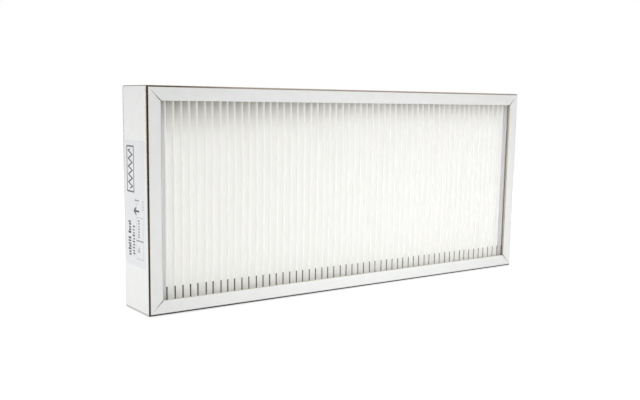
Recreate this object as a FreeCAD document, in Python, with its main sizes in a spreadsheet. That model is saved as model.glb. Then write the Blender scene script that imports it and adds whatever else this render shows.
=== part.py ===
import FreeCAD, Part
import os
import Sketcher
from math import asin, atan2, cos, hypot, pi, sin

# Pleated panel air filter: a folded board frame, a pack of upright folds glued into it, and a paper label.
# Millimetres. X runs along the frame, Y through its depth with the front face at -Y, and Z is up.
# The origin is the middle of the face that the frame stands on.

doc = FreeCAD.newDocument("pollen_filter")

# Driving dimensions: name, value and what it measures

driving = [
    ("width", 430, "frame, outside, along X"),
    ("height", 186, "frame, outside, along Z"),
    ("depth", 48, "frame, outside, along Y"),
    ("board_thick", 2, "board of the frame"),
    ("flange_width", 12, "front and rear flange, from the outside edge"),
    ("fold_notch", 1.2, "half-cut at the folds between wall and flange"),
    ("corner_notch", 0.6, "half-cut at the folds between wall and wall"),
    ("mitre_gap", 0.8, "opening of a flange mitre at its inner end"),
    ("mitre_start", 2.6, "outer corner to the closed end of a mitre, along X and Z"),
    ("seam_gap", 0.2, "gap where the two ends of the blank meet"),
    ("bed_thick", 1, "glue layer under and over the folds"),
    ("bed_margin", 1, "glue layer past the folds, front and rear"),
    ("strip_thick", 0.4, "glue layer between an end leg and its wall"),
    ("tip_setback", 2, "inside of a flange to the fold tips"),
    ("cloth_thick", 0.6, "filter cloth"),
    ("fold_radius", 0.5, "inside radius of a fold"),
    ("half_bend_flats", 2, "flats that round one half of a bend"),
    ("fold_count", 59, "folds along the pack"),
    ("label_across", 38.5, "label, across the wall"),
    ("label_upward", 104, "label, up the wall"),
    ("label_thick", 0.1, "label paper"),
    ("label_bottom", 38, "underside of the frame to the label"),
    ("label_front", 6, "front face of the frame to the label"),
]

# Sizes and places that follow from them, as formulas

following = [
    ("inner_width", "sizes.width - 2 * sizes.board_thick"),
    ("inner_top", "sizes.height - sizes.board_thick"),
    ("inner_depth", "sizes.depth - 2 * sizes.board_thick"),
    ("window_width", "sizes.width - 2 * sizes.flange_width"),
    ("window_top", "sizes.height - sizes.flange_width"),
    ("pack_depth", "inner_depth - 2 * sizes.tip_setback"),
    ("pack_bottom", "sizes.board_thick + sizes.bed_thick"),
    ("pack_top", "inner_top - sizes.bed_thick"),
    ("bend_radius", "sizes.fold_radius + sizes.cloth_thick"),
    ("fold_reach", "pack_depth / 2 - bend_radius"),
    ("fold_start", "sizes.strip_thick + bend_radius - inner_width / 2"),
    ("fold_pitch", "-2 * fold_start / sizes.fold_count"),
]


def make_sheet(name, rows):
    """A sheet with one named cell a row."""
    sheet = doc.addObject("Spreadsheet::Sheet", name)
    for row, (alias, content, *note) in enumerate(rows, start=1):
        sheet.set("A%d" % row, alias)
        sheet.set("B%d" % row, str(content))
        sheet.set("C%d" % row, " ".join(note))
        sheet.setAlias("B%d" % row, alias)
    doc.recompute()
    return sheet


sizes = make_sheet("sizes", driving)
places = make_sheet("places", [(alias, "=" + formula) for alias, formula in following])


# Bodies, sketches and constraints


def add_body(label):
    body = doc.addObject("PartDesign::Body", label)
    body.Label = label
    return body


def origin_item(body, role):
    return next(item for item in body.Origin.OriginFeatures if item.Role == role)


def add_sketch(body, name, role, offset=None):
    """A sketch on one of the body's origin planes, moved along that plane's normal by a formula."""
    sketch = body.newObject("Sketcher::SketchObject", name)
    sketch.AttachmentSupport = [(origin_item(body, role), "")]
    sketch.MapMode = "FlatFace"
    if offset:
        sketch.setExpression("AttachmentOffset.Base.z", offset)
    return sketch


def tie(sketch, kind, *ends):
    sketch.addConstraint(Sketcher.Constraint(kind, *ends))


def bind(sketch, kind, ends, formula):
    """A size of the sketch that follows a formula. It starts from what was drawn."""
    if kind == "Radius":
        drawn = sketch.Geometry[ends[0]].Radius
    else:
        across = sketch.getPoint(*ends[2:]) - sketch.getPoint(*ends[:2])
        drawn = across.x if kind == "DistanceX" else across.y
    index = sketch.addConstraint(Sketcher.Constraint(kind, *ends, drawn))
    sketch.setExpression("Constraints[%d]" % index, formula)


def place_end(sketch, edge, end, across, along):
    """Places the end of an edge from the sketch's origin. Without a formula it lies on that axis."""
    if across:
        bind(sketch, "DistanceX", (-1, 1, edge, end), across)
    else:
        tie(sketch, "PointOnObject", edge, end, -2)
    if along:
        bind(sketch, "DistanceY", (-1, 1, edge, end), along)
    else:
        tie(sketch, "PointOnObject", edge, end, -1)


def add_line(sketch, start, end):
    return sketch.addGeometry(Part.LineSegment(start, end))


def add_arc(sketch, centre, radius, start, end):
    circle = Part.Circle(centre, FreeCAD.Vector(0, 0, 1), radius)
    return sketch.addGeometry(Part.ArcOfCircle(circle, start, end))


def add_polygon(sketch, corners):
    """A closed outline whose corners are pairs of formulas, counted round."""
    turns = [2 * pi * index / len(corners) for index in range(len(corners))]
    ring = [FreeCAD.Vector(cos(turn), sin(turn), 0) for turn in turns]
    edges = [add_line(sketch, start, end) for start, end in zip(ring, ring[1:] + ring[:1])]
    for edge, after in zip(edges, edges[1:] + edges[:1]):
        tie(sketch, "Coincident", edge, 2, after, 1)
    for edge, (across, along) in zip(edges, corners):
        place_end(sketch, edge, 1, across, along)


def add_rectangle(sketch, left, bottom, right, top):
    add_polygon(sketch, [(left, bottom), (right, bottom), (right, top), (left, top)])


def add_pad(body, name, sketch, length, side="One side"):
    pad = body.newObject("PartDesign::Pad", name)
    pad.Profile = sketch
    pad.SideType = side
    pad.setExpression("Length", length)
    doc.recompute()
    return pad


def add_pocket(body, name, sketch, length, side="One side"):
    """A pocket against the sketch's normal, or both ways from the sketch, that has to take something away."""
    before = body.Shape.Volume
    pocket = body.newObject("PartDesign::Pocket", name)
    pocket.Profile = sketch
    pocket.SideType = side
    pocket.setExpression("Length", length)
    doc.recompute()
    if body.Shape.Volume >= before:
        raise RuntimeError("%s takes nothing away" % name)
    return pocket


# Board frame: one blank, scored and folded into a channel with two flanges, and wrapped round the pack


def make_board_frame():
    body = add_body("board_frame")

    outside = add_sketch(body, "frame_outside", "XZ_Plane")
    add_rectangle(outside, "-sizes.width / 2", None, "sizes.width / 2", "sizes.height")
    add_pad(body, "frame_block", outside, "sizes.depth", "Symmetric")

    channel = add_sketch(body, "frame_channel", "XZ_Plane")
    half_inner = "places.inner_width / 2"
    add_rectangle(channel, "-" + half_inner, "sizes.board_thick", half_inner, "places.inner_top")
    add_pocket(body, "channel_cut", channel, "places.inner_depth", "Symmetric")

    window = add_sketch(body, "frame_window", "XZ_Plane")
    half_window = "places.window_width / 2"
    add_rectangle(window, "-" + half_window, "sizes.flange_width", half_window, "places.window_top")
    add_pocket(body, "window_cut", window, "sizes.depth", "Symmetric")

    # A fold between wall and flange is half-cut from outside and leaves a square notch when it closes
    notch = add_sketch(body, "fold_notch_ring", "XZ_Plane", "sizes.depth / 2")
    half_notched = "sizes.width / 2 - sizes.fold_notch"
    notched_top = "sizes.height - sizes.fold_notch"
    add_rectangle(notch, "-sizes.width / 2", None, "sizes.width / 2", "sizes.height")
    add_rectangle(notch, "-(%s)" % half_notched, "sizes.fold_notch", half_notched, notched_top)
    notch_cut = add_pocket(body, "fold_notch_cut", notch, "sizes.fold_notch")

    # The flanges meet at 45 degrees, closed at the outer corner and a little open at the inner one
    mitre = add_sketch(body, "mitre_wedges", "XZ_Plane", "sizes.depth / 2")
    aside = "sizes.mitre_gap * sqrt(2) / 2"
    levels = [
        ("sizes.mitre_start", "sizes.flange_width", "sizes.flange_width + " + aside),
        ("sizes.height - sizes.mitre_start", "places.window_top", "places.window_top - " + aside),
    ]
    for side in ("-", ""):
        for outer_level, inner_level, aside_level in levels:
            outer_end = (side + "(sizes.width / 2 - sizes.mitre_start)", outer_level)
            flat_end = (side + "(%s - %s)" % (half_window, aside), inner_level)
            upright_end = (side + "(%s)" % half_window, aside_level)
            add_polygon(mitre, [outer_end, flat_end, upright_end])
    mitre_cut = add_pocket(body, "mitre_cut", mitre, "sizes.board_thick")

    rear = body.newObject("PartDesign::Mirrored", "rear_flange_cuts")
    rear.Originals = [notch_cut, mitre_cut]
    rear.MirrorPlane = (origin_item(body, "XZ_Plane"), [""])
    body.Tip = rear
    doc.recompute()

    # The folds between wall and wall are scored less deeply, along the four outer corners
    corners = add_sketch(body, "corner_notches", "XZ_Plane")
    half_scored = "sizes.width / 2 - sizes.corner_notch"
    scored_top = "sizes.height - sizes.corner_notch"
    for bottom, top in ((None, "sizes.corner_notch"), (scored_top, "sizes.height")):
        add_rectangle(corners, "-sizes.width / 2", bottom, "-(%s)" % half_scored, top)
        add_rectangle(corners, half_scored, bottom, "sizes.width / 2", top)
    add_pocket(body, "corner_notch_cut", corners, "sizes.depth", "Symmetric")

    # The two ends of the blank meet at the lower right corner, the bottom wall against the right one
    seam = add_sketch(body, "blank_seam", "XZ_Plane")
    add_rectangle(seam, "%s - sizes.seam_gap" % half_inner, None, half_inner, "sizes.board_thick")
    add_pocket(body, "blank_seam_cut", seam, "sizes.depth", "Symmetric")
    return body


# Filter cloth: one sheet, folded to and fro between the flanges, with an end leg along each side wall
# that comes from the rear and turns at the front


def flatten_bend(sketch, arc, count):
    """Rounds a bend with equal flats whose ends lie on an arc. The arc itself stays as a guide."""
    sketch.setConstruction(arc, True)
    drawn = sketch.Geometry[arc]
    step = (drawn.LastParameter - drawn.FirstParameter) / count
    points = [drawn.value(drawn.FirstParameter + index * step) for index in range(count + 1)]
    flats = [add_line(sketch, start, end) for start, end in zip(points, points[1:])]
    tie(sketch, "Coincident", flats[0], 1, arc, 1)
    for flat, after in zip(flats, flats[1:]):
        tie(sketch, "Coincident", flat, 2, after, 1)
        tie(sketch, "PointOnObject", flat, 2, arc)
        tie(sketch, "Equal", flat, after)
    tie(sketch, "Coincident", flats[-1], 2, arc, 2)


def join_apex(sketch, inner, inner_end, outer, outer_end):
    """Closes the cloth's outline across the tip of a front bend, square to the cloth."""
    across = add_line(sketch, sketch.getPoint(inner, inner_end), sketch.getPoint(outer, outer_end))
    tie(sketch, "Coincident", inner, inner_end, across, 1)
    tie(sketch, "Coincident", outer, outer_end, across, 2)
    tie(sketch, "Vertical", inner, 3, inner, inner_end)
    tie(sketch, "Vertical", outer, 3, outer, outer_end)
    tie(sketch, "Coincident", inner, 3, outer, 3)


def draw_fold(sketch):
    """One fold of the cloth, from the tip of a front bend to the tip of the next."""
    inside = sizes.fold_radius
    outside = places.bend_radius
    half_pitch = places.fold_pitch / 2
    reach = places.fold_reach
    lean = atan2(half_pitch, 2 * reach) - asin((inside + outside) / hypot(half_pitch, 2 * reach))
    front = FreeCAD.Vector(places.fold_start, -reach, 0)
    rear = FreeCAD.Vector(places.fold_start + half_pitch, reach, 0)
    next_front = FreeCAD.Vector(places.fold_start + 2 * half_pitch, -reach, 0)
    sides = []
    for front_radius, rear_radius in ((inside, outside), (outside, inside)):
        before = add_arc(sketch, front, front_radius, 3 * pi / 2, 2 * pi - lean)
        bend = add_arc(sketch, rear, rear_radius, lean, pi - lean)
        after = add_arc(sketch, next_front, front_radius, pi + lean, 3 * pi / 2)
        back = add_line(sketch, sketch.getPoint(before, 2), sketch.getPoint(bend, 2))
        forward = add_line(sketch, sketch.getPoint(bend, 1), sketch.getPoint(after, 1))
        tie(sketch, "Tangent", before, 2, back, 1)
        tie(sketch, "Tangent", bend, 2, back, 2)
        tie(sketch, "Tangent", bend, 1, forward, 1)
        tie(sketch, "Tangent", after, 1, forward, 2)
        sides.append((before, bend, after))
    (before, bend, after), (before_outer, bend_inner, after_outer) = sides
    join_apex(sketch, before, 1, before_outer, 1)
    join_apex(sketch, after, 2, after_outer, 2)
    tie(sketch, "Coincident", bend, 3, bend_inner, 3)
    tie(sketch, "Equal", before, after)
    tie(sketch, "Equal", before, bend_inner)
    tie(sketch, "Equal", before_outer, after_outer)
    tie(sketch, "Equal", before_outer, bend)
    bind(sketch, "Radius", (before,), "sizes.fold_radius")
    bind(sketch, "DistanceY", (before_outer, 1, before, 1), "sizes.cloth_thick")
    place_end(sketch, before, 3, "places.fold_start", "-places.fold_reach")
    place_end(sketch, bend, 3, "places.fold_start + places.fold_pitch / 2", "places.fold_reach")
    place_end(sketch, after, 3, "places.fold_start + places.fold_pitch", "-places.fold_reach")
    for before, bend, after in sides:
        flatten_bend(sketch, before, int(sizes.half_bend_flats))
        flatten_bend(sketch, bend, 2 * int(sizes.half_bend_flats))
        flatten_bend(sketch, after, int(sizes.half_bend_flats))


def draw_end_leg(sketch, side):
    """The end of the cloth: flat along a side wall, then round half a front bend. side is -1 or 1."""
    inside = sizes.fold_radius
    outside = places.bend_radius
    centre = FreeCAD.Vector(-side * places.fold_start, -places.fold_reach, 0)
    first_turn, last_turn = (pi, 3 * pi / 2) if side < 0 else (3 * pi / 2, 2 * pi)
    wall_end, apex_end = (1, 2) if side < 0 else (2, 1)
    legs = []
    arcs = []
    for radius in (inside, outside):
        arc = add_arc(sketch, centre, radius, first_turn, last_turn)
        start = sketch.getPoint(arc, wall_end)
        leg = add_line(sketch, start, FreeCAD.Vector(start.x, places.pack_depth / 2, 0))
        tie(sketch, "Tangent", arc, wall_end, leg, 1)
        tie(sketch, "Vertical", leg)
        arcs.append(arc)
        legs.append(leg)
    cut = add_line(sketch, sketch.getPoint(legs[0], 2), sketch.getPoint(legs[1], 2))
    tie(sketch, "Coincident", legs[0], 2, cut, 1)
    tie(sketch, "Coincident", legs[1], 2, cut, 2)
    tie(sketch, "Horizontal", cut)
    join_apex(sketch, arcs[0], apex_end, arcs[1], apex_end)
    bind(sketch, "Radius", (arcs[0],), "sizes.fold_radius")
    bind(sketch, "DistanceY", (arcs[1], apex_end, arcs[0], apex_end), "sizes.cloth_thick")
    bind(sketch, "DistanceY", (-1, 1, legs[0], 2), "places.pack_depth / 2")
    across = "places.fold_start" if side < 0 else "-places.fold_start"
    place_end(sketch, arcs[0], 3, across, "-places.fold_reach")
    for arc in arcs:
        flatten_bend(sketch, arc, int(sizes.half_bend_flats))


def make_pleated_media():
    body = add_body("pleated_media")
    body.AllowCompound = True
    cloth_height = "places.pack_top - places.pack_bottom"

    # The legs stand apart until the row of folds joins them
    for side, name in ((-1, "left"), (1, "right")):
        leg = add_sketch(body, name + "_end_leg", "XY_Plane", "places.pack_bottom")
        draw_end_leg(leg, side)
        add_pad(body, name + "_leg_pad", leg, cloth_height)

    fold = add_sketch(body, "one_fold", "XY_Plane", "places.pack_bottom")
    draw_fold(fold)
    fold_pad = add_pad(body, "fold_pad", fold, cloth_height)

    row = body.newObject("PartDesign::LinearPattern", "fold_row")
    row.Originals = [fold_pad]
    row.Direction = (origin_item(body, "X_Axis"), [""])
    row.Mode = "Spacing"
    row.setExpression("Offset", "places.fold_pitch")
    row.setExpression("Occurrences", "sizes.fold_count")
    body.Tip = row
    doc.recompute()
    return body


# Glue layers and label: plain plates


def add_plate(label, corner, extent):
    """A plate from its lowest corner and its extent, each as three formulas."""
    plate = doc.addObject("Part::Box", label)
    plate.Label = label
    for axis, formula in zip("xyz", corner):
        plate.setExpression("Placement.Base." + axis, formula)
    for side, formula in zip(("Length", "Width", "Height"), extent):
        plate.setExpression(side, formula)
    return plate


def make_adhesive():
    """A bed under and over the ends of the folds, and a strip between each end leg and its wall."""
    beds = [
        add_plate(
            label,
            ("-places.inner_width / 2", "-places.pack_depth / 2 - sizes.bed_margin", bottom),
            ("places.inner_width", "places.pack_depth + 2 * sizes.bed_margin", "sizes.bed_thick"),
        )
        for label, bottom in (("adhesive_bottom", "sizes.board_thick"), ("adhesive_top", "places.pack_top"))
    ]
    strip_height = "places.pack_top - places.pack_bottom"
    strips = [
        add_plate(
            label,
            (left, "-places.fold_reach", "places.pack_bottom"),
            ("sizes.strip_thick", "places.pack_depth - places.bend_radius", strip_height),
        )
        for label, left in (
            ("adhesive_left", "-places.inner_width / 2"),
            ("adhesive_right", "places.inner_width / 2 - sizes.strip_thick"),
        )
    ]
    return beds + strips


def make_side_label():
    """A paper label on the outside of the left wall."""
    return add_plate(
        "side_label",
        ("-sizes.width / 2 - sizes.label_thick", "sizes.label_front - sizes.depth / 2", "sizes.label_bottom"),
        ("sizes.label_thick", "sizes.label_across", "sizes.label_upward"),
    )


pieces = [make_board_frame(), make_pleated_media(), *make_adhesive(), make_side_label()]
doc.recompute()

for item in doc.Objects:
    if "Invalid" in item.State or "Error" in item.State:
        raise RuntimeError("%s failed: %s" % (item.Label, item.State))
for piece in pieces:
    if piece.Shape.isNull() or not piece.Shape.isValid() or len(piece.Shape.Solids) != 1:
        raise RuntimeError("%s is not one valid solid" % piece.Label)

os.makedirs("parts", exist_ok=True)
for piece in pieces:
    piece.Shape.exportStep("parts/%s.step" % piece.Label)
    print("%s: %.1f cm3" % (piece.Label, piece.Shape.Volume / 1000))
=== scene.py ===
import random
from math import asin, atan2, cos, hypot, pi, radians, sin

import bmesh
import bpy
from mathutils import Matrix, Vector, noise


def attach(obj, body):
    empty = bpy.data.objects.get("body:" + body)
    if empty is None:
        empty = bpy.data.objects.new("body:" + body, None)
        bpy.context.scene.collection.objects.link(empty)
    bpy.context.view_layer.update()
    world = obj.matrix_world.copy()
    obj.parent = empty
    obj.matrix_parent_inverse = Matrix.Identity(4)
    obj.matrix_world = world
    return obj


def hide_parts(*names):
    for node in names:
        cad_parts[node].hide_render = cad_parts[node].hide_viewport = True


# A pleated panel air filter: a frame of folded white board round a pack of cloth folds, with a paper label.
# Metres. X runs along the frame, Y through its depth with the front face at -Y, and Z is up.

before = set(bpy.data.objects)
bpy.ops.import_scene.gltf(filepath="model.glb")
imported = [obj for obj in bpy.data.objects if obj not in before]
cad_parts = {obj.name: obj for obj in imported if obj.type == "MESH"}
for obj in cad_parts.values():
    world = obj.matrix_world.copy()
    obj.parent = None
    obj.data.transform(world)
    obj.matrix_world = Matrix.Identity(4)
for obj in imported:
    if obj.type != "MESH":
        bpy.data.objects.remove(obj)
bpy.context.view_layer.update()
mm = 0.001

# The frame's board and its glue, as the CAD has them
board = {
    "width": 430 * mm,
    "height": 186 * mm,
    "depth": 48 * mm,
    "thick": 2 * mm,
    "flange": 12 * mm,
    "notch": 1.2 * mm,  # depth of the scores
    "endGlue": 1 * mm,  # under and over the folds
    "sideGlue": 0.4 * mm,  # beside the two end legs
}

# Small helpers for shader nodes


def newMaterial(name):
    material = bpy.data.materials.new(name)
    material.use_nodes = True
    tree = material.node_tree
    tree.nodes.clear()
    tree.nodes.new("ShaderNodeOutputMaterial")
    return material, tree


def addNode(tree, kind, inputs=None, **settings):
    # an input is either a socket to link or a plain value
    node = tree.nodes.new("ShaderNode" + kind)
    for name, value in settings.items():
        setattr(node, name, value)
    for key, value in (inputs or {}).items():
        if isinstance(value, bpy.types.NodeSocket):
            tree.links.new(value, node.inputs[key])
        else:
            node.inputs[key].default_value = value
    return node


def calc(tree, operation, *values):
    return addNode(tree, "Math", dict(enumerate(values)), operation=operation).outputs[0]


def rangeOf(tree, value, fromLow, fromHigh, toLow=0.0, toHigh=1.0, smooth=False):
    inputs = {"Value": value, "From Min": fromLow, "From Max": fromHigh, "To Min": toLow, "To Max": toHigh}
    kind = "SMOOTHSTEP" if smooth else "LINEAR"
    return addNode(tree, "MapRange", inputs, interpolation_type=kind).outputs["Result"]


def mixColour(tree, share, first, second, blend="MIX"):
    # sockets 0, 6 and 7 are the factor and the two colours
    inputs = {0: share, 6: first, 7: second}
    return addNode(tree, "Mix", inputs, data_type="RGBA", blend_type=blend).outputs[2]


def greyOf(tree, value):
    return addNode(tree, "CombineXYZ", {"X": value, "Y": value, "Z": value}).outputs[0]


def placeOf(tree):
    # every piece has its origin at the frame's, so this is the place in the frame
    return addNode(tree, "TexCoord").outputs["Object"]


def placeParts(tree):
    # the same as x, y and z
    return addNode(tree, "SeparateXYZ", {"Vector": placeOf(tree)}).outputs


def noiseOf(tree, size, detail=3.0, roughness=0.55):
    # features about size across
    inputs = {"Vector": placeOf(tree), "Scale": 1 / size, "Detail": detail, "Roughness": roughness}
    return addNode(tree, "TexNoise", inputs).outputs[0]


def bumpOf(tree, height, distance, strength, under=None):
    inputs = {"Height": height, "Distance": distance, "Strength": strength}
    if under is not None:
        inputs["Normal"] = under
    return addNode(tree, "Bump", inputs).outputs[0]


def finishSurface(tree, shader):
    output = next(node for node in tree.nodes if node.type == "OUTPUT_MATERIAL")
    tree.links.new(shader.outputs[0], output.inputs["Surface"])


def finishPrincipled(tree, inputs):
    finishSurface(tree, addNode(tree, "BsdfPrincipled", inputs))


# Board: white paper outside, brown where it is scored, tan where the window is cut, grey brown inside, with
# painted shade in the scores, painted shadow along the foot and the window's sides, and painted light on the
# window's lower cut edge

boardLook = {
    "white": (0.83, 0.84, 0.83, 1),
    "whiteShade": (0.805, 0.815, 0.80, 1),
    "scored": (0.022, 0.013, 0.007, 1),  # in the upright scores, near black: brown board darkened with painted shade
    "scoredRim": (0.40, 0.25, 0.12, 1),  # raw board just under the paper
    # the top score, darker at the left than at the right: painted shade
    "scoredTop": (0.17, 0.115, 0.07, 1),
    "scoredTopPale": (0.56, 0.48, 0.41, 1),
    # the foot score near black, paler to the right: painted shadow
    "scoredFootShadow": (0.012, 0.012, 0.011, 1),
    "scoredFootShadowPale": (0.05, 0.05, 0.048, 1),
    "rubbed": (0.26, 0.165, 0.085, 1),  # paper worn off beside a score
    "footShadow": (0.03, 0.03, 0.03, 1),  # painted shadow along the edges that it stands on
    "edge": (0.05, 0.045, 0.04, 1),  # painted shadow along the window's sides
    "cut": (0.60, 0.52, 0.40, 1),
    # the window's lower cut edge, paler where light falls on it: painted light
    "cutFootLit": (0.88, 0.87, 0.74, 1),
    "seam": (0.10, 0.09, 0.075, 1),
    "inside": (0.58, 0.55, 0.49, 1),
    "liner": 0.06 * mm,  # white paper
    "blur": 0.03 * mm,  # from one layer to the next
    "mottle": 9 * mm,
    "mottleRelief": (0.15 * mm, 0.35),  # height and strength
    "fibre": 0.35 * mm,
    "fibreRelief": (0.03 * mm, 0.5),
    "roughness": (0.48, 0.62),
    "coreRougher": 0.3,
    "ply": 0.28 * mm,
    "rubWall": 1.25 * mm,  # how far beside a score the paper is worn
    "rubFlange": 0.25 * mm,
    "rubPatch": 2.5 * mm,
    "rubHeight": (40 * mm, 120 * mm),  # from a little worn up to fully worn
    "rimWidth": 0.5 * mm,
    "sideShadowWidth": 0.2 * mm,
    "sideShadowHeight": 60 * mm,  # the painted shadow is darkest from here up
    "footWidth": 0.45 * mm,
    "footFade": (-150 * mm, 100 * mm),  # where the painted foot shadow turns paler, from the left
    "topFade": (-190 * mm, -125 * mm),  # and the top score's painted shade
}


def makeBoardMaterial():
    material, tree = newMaterial("white lined board")
    x, y, z = placeParts(tree)
    # how far in from the frame's six outer faces
    fromSide = calc(tree, "SUBTRACT", board["width"] / 2, calc(tree, "ABSOLUTE", x))
    fromTop = calc(tree, "SUBTRACT", board["height"], z)
    fromFace = calc(tree, "SUBTRACT", board["depth"] / 2, calc(tree, "ABSOLUTE", y))
    across = calc(tree, "MINIMUM", fromSide, calc(tree, "MINIMUM", z, fromTop))
    deep = calc(tree, "MINIMUM", across, fromFace)

    mottle = noiseOf(tree, boardLook["mottle"], 4)
    fibre = noiseOf(tree, boardLook["fibre"], 2, 0.6)
    white = mixColour(tree, rangeOf(tree, mottle, 0.35, 0.75), boardLook["white"], boardLook["whiteShade"])
    # the paper is worn along the scores, more so on the walls and high up
    notch = board["notch"]
    beside = calc(tree, "MAXIMUM", across, fromFace)
    onWall = calc(tree, "GREATER_THAN", fromFace, across)
    rub = rangeOf(tree, onWall, 0, 1, boardLook["rubFlange"], boardLook["rubWall"])
    worn = rangeOf(tree, calc(tree, "DIVIDE", calc(tree, "SUBTRACT", beside, notch), rub), 0.6, 1, 1, 0)
    patches = rangeOf(tree, noiseOf(tree, boardLook["rubPatch"], 4, 0.7), 0.3, 0.55, 0.3, 1)
    patches = calc(tree, "MULTIPLY", patches, rangeOf(tree, z, *boardLook["rubHeight"], 0.25, 1))
    white = mixColour(tree, calc(tree, "MULTIPLY", worn, patches), white, boardLook["rubbed"])
    # a painted shadow along the foot, paler to the right and on the walls
    alongFoot = rangeOf(tree, x, *boardLook["footFade"])
    footWidth = boardLook["footWidth"]
    footShadow = rangeOf(tree, z, notch + footWidth / 2, notch + footWidth, 1, 0)
    footShadow = calc(tree, "MULTIPLY", footShadow, rangeOf(tree, alongFoot, 0, 1, 0.95, 0.65))
    footShadow = calc(tree, "MULTIPLY", footShadow, rangeOf(tree, onWall, 0, 1, 1, 0.3))
    white = mixColour(tree, footShadow, white, boardLook["footShadow"])
    # and a painted shadow along the window's upright sides, darker higher up
    flange, sideShadowWidth = board["flange"], boardLook["sideShadowWidth"]
    edge = calc(tree, "COMPARE", fromSide, flange - sideShadowWidth / 2, sideShadowWidth / 2)
    between = calc(tree, "GREATER_THAN", calc(tree, "MINIMUM", z, fromTop), flange)
    edge = calc(tree, "MULTIPLY", edge, between)
    edge = calc(tree, "MULTIPLY", edge, rangeOf(tree, z, 0, boardLook["sideShadowHeight"], 0.3, 0.95))
    white = mixColour(tree, edge, white, boardLook["edge"])

    # raw board, brown in the scores and darkened there with painted shade, then dark in the mitres, then tan
    # at the window's cut edge, painted paler on its lower side where light falls
    plies = calc(tree, "SINE", calc(tree, "MULTIPLY", deep, 2 * pi / boardLook["ply"]))
    shade = calc(tree, "MULTIPLY_ADD", plies, 0.1, calc(tree, "MULTIPLY_ADD", fibre, 0.5, 0.75))
    # painted shade in the top and foot scores, darker towards the left
    alongTop = rangeOf(tree, x, *boardLook["topFade"])
    scoredTop = mixColour(tree, alongTop, boardLook["scoredTop"], boardLook["scoredTopPale"])
    scoredFootShadow = mixColour(tree, alongFoot, boardLook["scoredFootShadow"], boardLook["scoredFootShadowPale"])
    rim = rangeOf(tree, deep, 0.1 * mm, boardLook["rimWidth"], 0.7, 0)
    scored = mixColour(tree, rim, boardLook["scored"], boardLook["scoredRim"])
    scored = mixColour(tree, rangeOf(tree, fromTop, notch, notch + 0.1 * mm, 1, 0), scored, scoredTop)
    scored = mixColour(tree, rangeOf(tree, z, notch, notch + 0.1 * mm, 1, 0), scored, scoredFootShadow)
    pastScore = rangeOf(tree, across, notch + 0.2 * mm, notch + 0.8 * mm)
    core = mixColour(tree, pastScore, scored, boardLook["seam"])
    # the lower cut edge is paler: painted light
    lowCut = rangeOf(tree, z, flange, flange + 0.3 * mm, 1, 0)
    cut = mixColour(tree, lowCut, boardLook["cut"], boardLook["cutFootLit"])
    atWindow = rangeOf(tree, across, flange - 0.05 * mm, flange - 0.02 * mm)
    core = mixColour(tree, atWindow, core, cut)
    core = mixColour(tree, 1.0, core, greyOf(tree, shade), "MULTIPLY")
    inside = mixColour(tree, rangeOf(tree, fibre, 0.3, 0.7, 0, 0.35), boardLook["inside"], boardLook["seam"])

    isCore = rangeOf(tree, deep, boardLook["liner"], boardLook["liner"] + boardLook["blur"])
    isInside = rangeOf(tree, deep, board["thick"] - 0.06 * mm, board["thick"] - 0.02 * mm)
    colour = mixColour(tree, isCore, white, core)
    colour = mixColour(tree, isInside, colour, inside)

    relief = bumpOf(tree, fibre, *boardLook["fibreRelief"])
    relief = bumpOf(tree, mottle, *boardLook["mottleRelief"], relief)
    rough = rangeOf(tree, fibre, 0.3, 0.7, *boardLook["roughness"])
    rough = calc(tree, "MULTIPLY_ADD", isCore, boardLook["coreRougher"], rough)
    finishPrincipled(tree, {"Base Color": colour, "Roughness": rough, "Normal": relief})
    return material


# Cloth: white nonwoven, greyer towards the ends of the folds, at the bends and beside the side walls: painted
# shade

clothLook = {
    "white": (0.97, 0.97, 0.962, 1),
    "shade": (0.95, 0.95, 0.942, 1),
    "bend": (0.79, 0.79, 0.78, 1),  # darker at the bends: painted shade that dims the light the fold tips catch
    "bendFrom": (19.1 * mm, 19.6 * mm),  # from the pack's middle plane, where it starts and is full
    # the ends of the folds greyer: painted shade
    "paintedEndShade": (0.925, 0.92, 0.89, 1),
    "endShadeFull": 9 * mm,  # from the folds' ends, and fully shaded up to here
    "endShadeTop": (48 * mm, 30 * mm),  # clear of painted shade from here on, at the left and from the middle on
    "endShadeAlong": (-200 * mm, 0),
    "endShadeFoot": 30 * mm,
    "footStrength": 0.1,
    "shadeEdge": (9 * mm, 8 * mm),  # size and height of the painted shade's uneven edge
    "end": (0.95, 0.955, 0.965, 1),  # the folds beside the side walls, greyer: painted shade
    "endFade": (12 * mm, 14.5 * mm),  # in from the side, where it turns weaker
    "endStop": (19.5 * mm, 20.5 * mm),
    # near black on the front of each bend low down: painted shadow of a gap between the folds
    "gap": (0.03, 0.026, 0.022, 1),
    "gapFibre": 0.75 * mm,
    "gapRoughness": 0.95,
    "clump": 2.2 * mm,
    "clumpRelief": (0.12 * mm, 0.25),  # height and strength
    "fibre": 0.25 * mm,
    "fibreRelief": (0.05 * mm, 0.45),
    "roughness": 0.9,
    "lightReach": 2.0 * mm,  # how far light goes in the cloth
    "through": 0.04,  # a painted glow that stands in for daylight through the whole pack from behind
    "glowColour": (1, 1, 0.98, 1),
}


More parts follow.
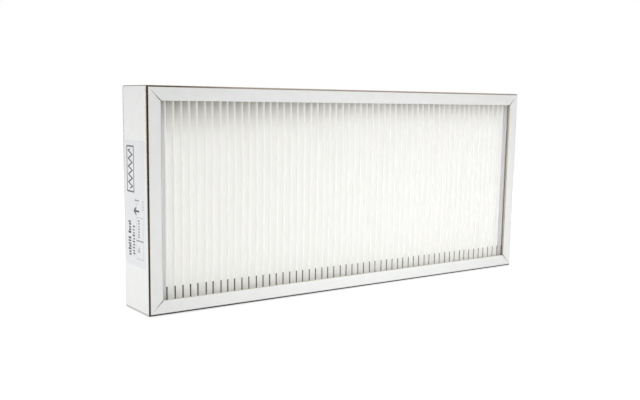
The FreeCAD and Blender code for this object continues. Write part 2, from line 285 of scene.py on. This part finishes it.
def makeClothMaterial():
    material, tree = newMaterial("nonwoven cloth")
    x, y, z = placeParts(tree)
    clump = noiseOf(tree, clothLook["clump"], 4, 0.6)
    fibre = noiseOf(tree, clothLook["fibre"], 3, 0.7)
    colour = mixColour(tree, rangeOf(tree, clump, 0.3, 0.75), clothLook["white"], clothLook["shade"])
    # darker at the bends: painted shade
    atBend = rangeOf(tree, calc(tree, "ABSOLUTE", y), *clothLook["bendFrom"])
    colour = mixColour(tree, atBend, colour, clothLook["bend"])

    # greyer towards the top and the foot of the folds, with an uneven edge and further at the left: painted
    # shade
    shadeEdgeSize, shadeEdgeHeight = clothLook["shadeEdge"]
    shadeEdge = calc(tree, "MULTIPLY", noiseOf(tree, shadeEdgeSize, 3), shadeEdgeHeight)
    fromTop = calc(tree, "ADD", calc(tree, "SUBTRACT", folds["top"], z), shadeEdge)
    fromFoot = calc(tree, "ADD", calc(tree, "SUBTRACT", z, folds["bottom"]), shadeEdge)
    clearTop = rangeOf(tree, x, *clothLook["endShadeAlong"], *clothLook["endShadeTop"])
    fullShade, clearFoot = clothLook["endShadeFull"], clothLook["endShadeFoot"]
    topShade = rangeOf(tree, fromTop, fullShade, clearTop, 1, 0, smooth=True)
    footShade = rangeOf(tree, fromFoot, fullShade, clearFoot, clothLook["footStrength"], 0, smooth=True)
    endShade = calc(tree, "MAXIMUM", topShade, footShade)
    colour = mixColour(tree, endShade, colour, clothLook["paintedEndShade"])
    # the last folds beside the side walls are greyer: painted shade
    fromSide = calc(tree, "SUBTRACT", board["width"] / 2, calc(tree, "ABSOLUTE", x))
    nearEnd = rangeOf(tree, fromSide, *clothLook["endFade"], 1, 0.25)
    nearEnd = calc(tree, "MULTIPLY", nearEnd, rangeOf(tree, fromSide, *clothLook["endStop"], 1, 0))
    colour = mixColour(tree, nearEnd, colour, clothLook["end"])
    # the painted glow, fading out where the shade is painted
    through = rangeOf(tree, calc(tree, "MAXIMUM", endShade, nearEnd), 0, 1, clothLook["through"], 0)

    relief = bumpOf(tree, fibre, *clothLook["fibreRelief"])
    relief = bumpOf(tree, clump, *clothLook["clumpRelief"], relief)
    surface = {
        "Base Color": colour,
        "Roughness": clothLook["roughness"],
        "Normal": relief,
        "Subsurface Weight": 1.0,
        "Subsurface Scale": clothLook["lightReach"],
        "Subsurface Radius": (1.0, 1.0, 1.0),
        "Emission Color": clothLook["glowColour"],
        "Emission Strength": through,
    }
    finishPrincipled(tree, surface)
    return material


def makeGapShadowMaterial():
    # a near black stripe: painted shadow where a gap between the folds would show
    material, tree = newMaterial("fold gap")
    fibre = noiseOf(tree, clothLook["gapFibre"], 3, 0.7)
    shade = rangeOf(tree, fibre, 0.3, 0.7, 0.6, 1.3)
    colour = mixColour(tree, 1.0, clothLook["gap"], greyOf(tree, shade), "MULTIPLY")
    finishPrincipled(tree, {"Base Color": colour, "Roughness": clothLook["gapRoughness"]})
    return material


# Glue

glueLook = {
    "pale": (0.72, 0.69, 0.58, 1),
    "dark": (0.6, 0.56, 0.44, 1),
    "blob": 3 * mm,
    "blobRelief": (0.3 * mm, 0.5),  # height and strength
    "roughness": 0.45,
}


def makeGlueMaterial():
    material, tree = newMaterial("set glue")
    blob = noiseOf(tree, glueLook["blob"], 2)
    colour = mixColour(tree, rangeOf(tree, blob, 0.3, 0.7), glueLook["pale"], glueLook["dark"])
    relief = bumpOf(tree, blob, *glueLook["blobRelief"])
    surface = {"Base Color": colour, "Roughness": glueLook["roughness"], "Normal": relief}
    finishPrincipled(tree, surface)
    return material


# Label: white paper with plain dark print, and no words. A place is millimetres behind the front face
# and above the floor, and an area is from, to behind the face and from, to above the floor.

labelLook = {
    "white": (0.76, 0.77, 0.79, 1),
    "shade": (0.735, 0.745, 0.765, 1),
    "ink": (0.012, 0.012, 0.015, 1),
    "inkPale": (0.05, 0.05, 0.055, 1),
    "fibre": 0.4 * mm,
    "fibreRelief": (0.01 * mm, 0.5),  # height and strength
    "broad": 15 * mm,
    "broadRelief": (0.2 * mm, 0.2),
    "roughness": 0.42,
    "tallFrom": 0.6,  # chance over which a stroke is tall
    "shortHeight": 0.75,  # of a tall stroke's
    "unevenWidth": 0.3,
    "shift": 3.7,
    "lines": [
        # area, step from stroke to stroke, how much of a step is inked, how dark
        ((33.8, 39.2, 45.5, 61.5), 2.3, 0.66, 1.0),
        ((33.8, 39.2, 64.0, 76.0), 2.3, 0.66, 1.0),
        ((26.2, 31.0, 46.0, 72.5), 2.5, 0.5, 0.95),
        ((16.6, 20.4, 62.5, 77.5), 2.3, 0.55, 0.7),
        ((16.6, 20.4, 49.5, 55.5), 2.3, 0.55, 0.7),
        ((8.8, 11.4, 86.0, 94.0), 2.2, 0.5, 0.5),
    ],
    "bars": [
        # area and how dark: the box with two cells
        ((9.5, 23.2, 44.7, 45.2), 0.45),
        ((9.5, 23.2, 79.0, 79.5), 0.45),
        ((9.5, 10.0, 44.7, 79.5), 0.35),
        ((22.7, 23.2, 44.7, 79.5), 0.35),
        ((9.5, 23.2, 59.5, 60.5), 0.8),
        # two short lines over the arrow
        ((17.5, 26.0, 92.5, 93.6), 0.7),
        ((20.0, 24.0, 90.0, 90.6), 0.45),
        # a panel's outline in the place of the mark
        ((26.2, 27.5, 99.0, 137.5), 0.9),
        ((39.3, 40.6, 99.0, 137.5), 0.9),
        ((26.2, 40.6, 99.0, 100.3), 0.9),
        ((26.2, 40.6, 136.2, 137.5), 0.9),
    ],
    # the zigzag of folds inside that outline
    "foldMark": {
        "area": (28.6, 38.2, 102.0, 134.5),
        "middle": 33.4,
        "swing": 3.9,
        "pitch": 6.5,
        "stroke": 1.5,
    },
    "arrow": {
        "tip": 27.6,
        "tail": 17.0,
        "height": 84.3,
        "point": 1.0,  # beyond the shaft
        "stroke": 0.75,  # half the shaft's width
        "barb": 0.9,
        "head": 5.0,
        "headSide": 4.0,  # half its width
        "spread": 0.6,
    },
}


def insideArea(tree, back, up, area):
    # 1 inside the area, by its middle and half its extent
    left, right, low, high = area
    alongDepth = calc(tree, "COMPARE", back, (left + right) / 2, (right - left) / 2)
    alongHeight = calc(tree, "COMPARE", up, (low + high) / 2, (high - low) / 2)
    return calc(tree, "MULTIPLY", alongDepth, alongHeight)


def chanceOf(tree, number):
    # the same value each time for the same number
    return addNode(tree, "TexWhiteNoise", {"W": number}, noise_dimensions="1D").outputs[0]


def strokesOf(tree, back, up, area, step, inked):
    # a line of upright strokes of uneven height and width, in place of writing
    steps = calc(tree, "DIVIDE", up, step)
    cell = calc(tree, "FLOOR", steps)
    within = calc(tree, "FRACT", steps)
    # a shift of its own gives each line its own strokes
    shift = area[0] * labelLook["shift"]
    tall = chanceOf(tree, calc(tree, "ADD", cell, shift))
    wide = chanceOf(tree, calc(tree, "ADD", cell, shift + 0.5))
    isTall = calc(tree, "GREATER_THAN", tall, labelLook["tallFrom"])
    full = area[1] - area[0]
    short = full * labelLook["shortHeight"]
    top = calc(tree, "MULTIPLY_ADD", isTall, full - short, area[0] + short)
    uneven = labelLook["unevenWidth"]
    edge = calc(tree, "MULTIPLY_ADD", wide, uneven, inked - uneven / 2)
    mask = calc(tree, "MULTIPLY", insideArea(tree, back, up, area), calc(tree, "LESS_THAN", back, top))
    return calc(tree, "MULTIPLY", mask, calc(tree, "LESS_THAN", within, edge))


def zigzagOf(tree, back, up, mark):
    swing = calc(tree, "PINGPONG", up, mark["pitch"] / 2)
    slope = 4 * mark["swing"] / mark["pitch"]
    swing = calc(tree, "MULTIPLY_ADD", swing, slope, mark["middle"] - mark["swing"])
    zigzag = calc(tree, "COMPARE", back, swing, mark["stroke"])
    return calc(tree, "MULTIPLY", zigzag, insideArea(tree, back, up, mark["area"]))


def arrowOf(tree, back, up, arrow):
    tip, height, stroke = arrow["tip"], arrow["height"], arrow["stroke"]
    shaft = (arrow["tail"], tip - arrow["point"], height - stroke, height + stroke)
    aside = calc(tree, "ABSOLUTE", calc(tree, "SUBTRACT", up, height))
    spread = calc(tree, "MULTIPLY", calc(tree, "SUBTRACT", tip, back), arrow["spread"])
    barbs = calc(tree, "COMPARE", aside, spread, arrow["barb"])
    headArea = (tip - arrow["head"], tip, height - arrow["headSide"], height + arrow["headSide"])
    head = calc(tree, "MULTIPLY", barbs, insideArea(tree, back, up, headArea))
    return calc(tree, "MAXIMUM", insideArea(tree, back, up, shaft), head)


def makeLabelMaterial():
    material, tree = newMaterial("label paper")
    _, y, z = placeParts(tree)
    # both in millimetres
    back = calc(tree, "MULTIPLY_ADD", y, 1 / mm, board["depth"] / 2 / mm)
    up = calc(tree, "MULTIPLY", z, 1 / mm)

    ink = 0.0
    for area, dark in labelLook["bars"]:
        bar = calc(tree, "MULTIPLY", insideArea(tree, back, up, area), dark)
        ink = calc(tree, "MAXIMUM", ink, bar)
    for area, step, inked, dark in labelLook["lines"]:
        strokes = strokesOf(tree, back, up, area, step, inked)
        ink = calc(tree, "MAXIMUM", ink, calc(tree, "MULTIPLY", strokes, dark))
    ink = calc(tree, "MAXIMUM", ink, zigzagOf(tree, back, up, labelLook["foldMark"]))
    ink = calc(tree, "MAXIMUM", ink, arrowOf(tree, back, up, labelLook["arrow"]))

    fibre = noiseOf(tree, labelLook["fibre"], 3)
    broad = noiseOf(tree, labelLook["broad"], 2)
    paper = mixColour(tree, rangeOf(tree, broad, 0.3, 0.7), labelLook["white"], labelLook["shade"])
    printed = mixColour(tree, rangeOf(tree, fibre, 0.4, 0.7), labelLook["ink"], labelLook["inkPale"])
    colour = mixColour(tree, ink, paper, printed)
    relief = bumpOf(tree, fibre, *labelLook["fibreRelief"])
    relief = bumpOf(tree, broad, *labelLook["broadRelief"], relief)
    surface = {"Base Color": colour, "Roughness": labelLook["roughness"], "Normal": relief}
    finishPrincipled(tree, surface)
    return material


# Filter cloth: one sheet in upright folds, with an end leg along each side wall

folds = {
    "count": 59,
    "packDepth": 40 * mm,
    "packWidth": board["width"] - 2 * (board["thick"] + board["sideGlue"]),
    "bottom": board["thick"] + board["endGlue"],
    "top": board["height"] - (board["thick"] + board["endGlue"]),
    "cloth": 0.6 * mm,
    "insideRadius": 0.5 * mm,
    "bendTurns": (-1.0, -0.65, -0.3, 0.25, 0.7, 1.0),  # points of a bend, from one side to the other
    "stepsPerSide": 3,
    "wander": 0.4 * mm,  # how far a fold stands from its place
    "wave": 0.2 * mm,  # how far it sways on its way up
    "waveScale": (60, 30, 18),  # along, across and up, in steps of the noise to a metre
    "hold": 20 * mm,  # the sway grows over this much from each glued end
    "footLevels": (8 * mm, 14 * mm, 20 * mm),  # heights of points, up to the painted gap shadow's top
    "gapTop": 22.4 * mm,  # top of the painted gap shadow at the foot of each front bend
    "gapTurns": (-0.4, 0.6),  # the painted shadow's faces start at the bend's points between these
    "upperLevels": 16,
    "seed": 7,
}


def bendPoints(centre, radius, first, last, isFront):
    # the cloth's middle line round a bend: place, unit normal to the line's right, and whether the painted
    # gap shadow starts
    gapStart, gapEnd = folds["gapTurns"]
    points = []
    for share in folds["bendTurns"]:
        turn = (first + last) / 2 + (last - first) / 2 * share
        outward = Vector((cos(turn), sin(turn)))
        startsGapShadow = isFront and gapStart < share < gapEnd
        points.append((centre + outward * radius, outward if isFront else -outward, startsGapShadow))
    return points


def legPoints(x, yFrom, yTo, normal):
    steps = folds["stepsPerSide"]
    return [(Vector((x, yFrom + (yTo - yFrom) * step / steps)), normal, False) for step in range(1, steps)]


def foldProfile():
    # the cloth from above, from the left end leg's rear end to the right one's
    dice = random.Random(folds["seed"])
    radius = folds["insideRadius"] + folds["cloth"] / 2
    reach = folds["packDepth"] / 2 - folds["insideRadius"] - folds["cloth"]
    start = folds["insideRadius"] + folds["cloth"] - folds["packWidth"] / 2
    pitch = -2 * start / folds["count"]
    lean = atan2(pitch / 2, 2 * reach) - asin(2 * radius / hypot(pitch / 2, 2 * reach))
    rearEnd = folds["packDepth"] / 2

    bends = []
    for index in range(2 * folds["count"] + 1):
        x = start + index * pitch / 2
        isEnd = index in (0, 2 * folds["count"])
        x += 0 if isEnd else dice.uniform(-1, 1) * folds["wander"]
        bends.append(Vector((x, reach if index % 2 else -reach)))

    points = [(Vector((start - radius, rearEnd)), Vector((-1, 0)), False)]
    points += legPoints(start - radius, rearEnd, -reach, Vector((-1, 0)))
    for index, centre in enumerate(bends):
        if index % 2:
            bend = bendPoints(centre, radius, pi - lean, lean, False)
        else:
            first = pi if index == 0 else pi + lean
            last = 2 * pi if index == len(bends) - 1 else 2 * pi - lean
            bend = bendPoints(centre, radius, first, last, True)
        if index:
            before, after = points[-1], bend[0]
            steps = folds["stepsPerSide"]
            for step in range(1, steps):
                points.append((before[0].lerp(after[0], step / steps), before[1], False))
        points += bend
    points += legPoints(radius - start, -reach, rearEnd, Vector((1, 0)))
    points.append((Vector((radius - start, rearEnd)), Vector((1, 0)), False))
    return points


def clothLevels():
    # heights of the rings of points, one of them at the gaps' top
    gapTop, steps = folds["gapTop"], folds["upperLevels"]
    upper = [gapTop + (folds["top"] - gapTop) * step / steps for step in range(1, steps + 1)]
    return [folds["bottom"], *folds["footLevels"], gapTop, *upper]


def clothRing(bm, profile, level):
    # one row of points on each side of the cloth, first on the line's right
    hold = folds["hold"]
    free = min(1, (level - folds["bottom"]) / hold, (folds["top"] - level) / hold)
    along, across, up = folds["waveScale"]
    ring = []
    for side in (1, -1):
        row = []
        for place, normal, _ in profile:
            sway = noise.noise(Vector((place.x * along, place.y * across, level * up))) * folds["wave"] * free
            spot = place + normal * folds["cloth"] / 2 * side
            row.append(bm.verts.new((spot.x + sway, spot.y, level)))
        ring.append(row)
    return ring


def clothMesh(profile):
    bm = bmesh.new()
    levels = clothLevels()
    rings = [clothRing(bm, profile, level) for level in levels]
    last = len(profile) - 1
    for level, low, high in zip(levels, rings, rings[1:]):
        for side in (0, 1):
            for index in range(last):
                corners = [low[side][index], low[side][index + 1], high[side][index + 1], high[side][index]]
                face = bm.faces.new(corners)
                # the front bends' outer faces low down get the painted gap shadow
                if side == 0 and profile[index][2] and level < folds["gapTop"]:
                    face.material_index = 1
        for index in (0, last):
            bm.faces.new([low[0][index], low[1][index], high[1][index], high[0][index]])
    for ring in (rings[0], rings[-1]):
        for index in range(last):
            bm.faces.new([ring[0][index], ring[0][index + 1], ring[1][index + 1], ring[1][index]])
    bmesh.ops.recalc_face_normals(bm, faces=bm.faces)
    for face in bm.faces:
        face.smooth = True
    mesh = bpy.data.meshes.new("folded cloth")
    bm.to_mesh(mesh)
    bm.free()
    return mesh


def makeCloth(*materials):
    # the cloth's material, then the painted gap shadow's
    profile = foldProfile()
    mesh = clothMesh(profile)
    for material in materials:
        mesh.materials.append(material)
    cloth = bpy.data.objects.new("foldedCloth", mesh)
    bpy.context.scene.collection.objects.link(cloth)
    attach(cloth, "root")
    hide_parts("pleated_media")


# Light, floor and camera

studio = {
    "worldLight": 0.66,
    "floorSize": 6.0,
    "floorWhite": 0.9,
    "floorLift": (0.34, 0.41),  # only what the camera sees: near the frame and far off
    "liftReach": (0.11, 0.28),
    "liftShape": (0.5, 1, 1),  # the near part is twice as long as it is deep
    "lightBounces": 24,  # light goes to and fro between the folds
    # name: place, aimed at, width and height, power
    "softboxes": {
        "lowFront": ((0.05, -0.30, 0.035), (0.05, 0.0, 0.035), (0.45, 0.05), 0.40),
        "lowLeft": ((-0.50, 0.0, 0.04), (-0.2, 0.0, 0.04), (0.25, 0.05), 0.30),
        "rear": ((0.55, 1.10, 0.45), (0.05, 0.0, 0.09), (0.9, 0.9), 4.0),
    },
}

camera = {
    "place": (-498.22 * mm, -641.39 * mm, 174.0 * mm),
    "heading": 35.26,  # degrees to the right of +Y, down and rolled
    "down": 8.16,
    "roll": 0.76,
    "focalPixels": 845.5,
    "opticalCentre": (305.25, 223.77),  # in pixels from the top left
    "imageSize": (640, 400),
    "sensor": 36.0,  # millimetres wide
    "clipStart": 10 * mm,
}


def seenRays(tree):
    # 1 for what the camera sees, directly, mirrored or through something
    path = addNode(tree, "LightPath").outputs
    seen = calc(tree, "MAXIMUM", path["Is Camera Ray"], path["Is Glossy Ray"])
    return calc(tree, "MAXIMUM", seen, path["Is Transmission Ray"])


def makeWorld():
    world = bpy.data.worlds.new("studio")
    world.use_nodes = True
    tree = world.node_tree
    tree.nodes.clear()
    strength = rangeOf(tree, seenRays(tree), 0, 1, studio["worldLight"], 1.0)
    background = addNode(tree, "Background", {"Color": (1, 1, 1, 1), "Strength": strength})
    output = tree.nodes.new("ShaderNodeOutputWorld")
    tree.links.new(background.outputs[0], output.inputs["Surface"])
    bpy.context.scene.world = world


def makeFloor():
    bm = bmesh.new()
    bmesh.ops.create_grid(bm, x_segments=1, y_segments=1, size=studio["floorSize"] / 2)
    mesh = bpy.data.meshes.new("floor")
    bm.to_mesh(mesh)
    bm.free()
    floor = bpy.data.objects.new("floor", mesh)
    bpy.context.scene.collection.objects.link(floor)
    material, tree = newMaterial("white floor")
    white = studio["floorWhite"]
    diffuse = addNode(tree, "BsdfDiffuse", {"Color": (white, white, white, 1)})
    # the lamps light the floor near the frame, so it needs less there, and the shadow stays
    inputs = {"Vector": placeOf(tree), "Scale": studio["liftShape"]}
    place = addNode(tree, "Mapping", inputs).outputs[0]
    away = addNode(tree, "VectorMath", {0: place}, operation="LENGTH").outputs["Value"]
    lift = rangeOf(tree, away, *studio["liftReach"], *studio["floorLift"])
    lift = calc(tree, "MULTIPLY", seenRays(tree), lift)
    glow = addNode(tree, "Emission", {"Color": (1, 1, 1, 1), "Strength": lift})
    finishSurface(tree, addNode(tree, "AddShader", {0: diffuse.outputs[0], 1: glow.outputs[0]}))
    mesh.materials.append(material)


def addSoftbox(name, place, aim, size, power):
    light = bpy.data.lights.new(name, "AREA")
    light.shape = "RECTANGLE"
    light.size, light.size_y = size
    light.energy = power
    lamp = bpy.data.objects.new(name, light)
    lamp.visible_camera = False
    lamp.location = place
    lamp.rotation_euler = (Vector(aim) - Vector(place)).to_track_quat("-Z", "Y").to_euler()
    bpy.context.scene.collection.objects.link(lamp)


def makeCamera():
    data = bpy.data.cameras.new("camera")
    width, height = camera["imageSize"]
    data.sensor_width = camera["sensor"]
    data.lens = camera["focalPixels"] / width * camera["sensor"]
    data.shift_x = (width / 2 - camera["opticalCentre"][0]) / width
    data.shift_y = (camera["opticalCentre"][1] - height / 2) / width
    data.clip_start = camera["clipStart"]
    eye = bpy.data.objects.new("camera", data)
    turn = Matrix.Rotation(-radians(camera["heading"]), 4, "Z")
    tilt = Matrix.Rotation(pi / 2 - radians(camera["down"]), 4, "X")
    roll = Matrix.Rotation(radians(camera["roll"]), 4, "Z")
    eye.matrix_world = Matrix.Translation(camera["place"]) @ turn @ tilt @ roll
    bpy.context.scene.collection.objects.link(eye)
    bpy.context.scene.camera = eye


glueMaterial = makeGlueMaterial()
looks = {"board_frame": makeBoardMaterial(), "side_label": makeLabelMaterial()}
for name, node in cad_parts.items():
    node.data.materials.clear()
    node.data.materials.append(looks.get(name, glueMaterial))
print("board, glue and label: materials on %d CAD pieces" % len(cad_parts))

makeCloth(makeClothMaterial(), makeGapShadowMaterial())

makeWorld()
makeFloor()
for name, (place, aim, size, power) in studio["softboxes"].items():
    addSoftbox(name, place, aim, size, power)
makeCamera()
scene = bpy.context.scene
scene.view_settings.view_transform = "Standard"
scene.cycles.max_bounces = studio["lightBounces"]
scene.cycles.diffuse_bounces = studio["lightBounces"]
print("studio: world, floor, softboxes and camera")
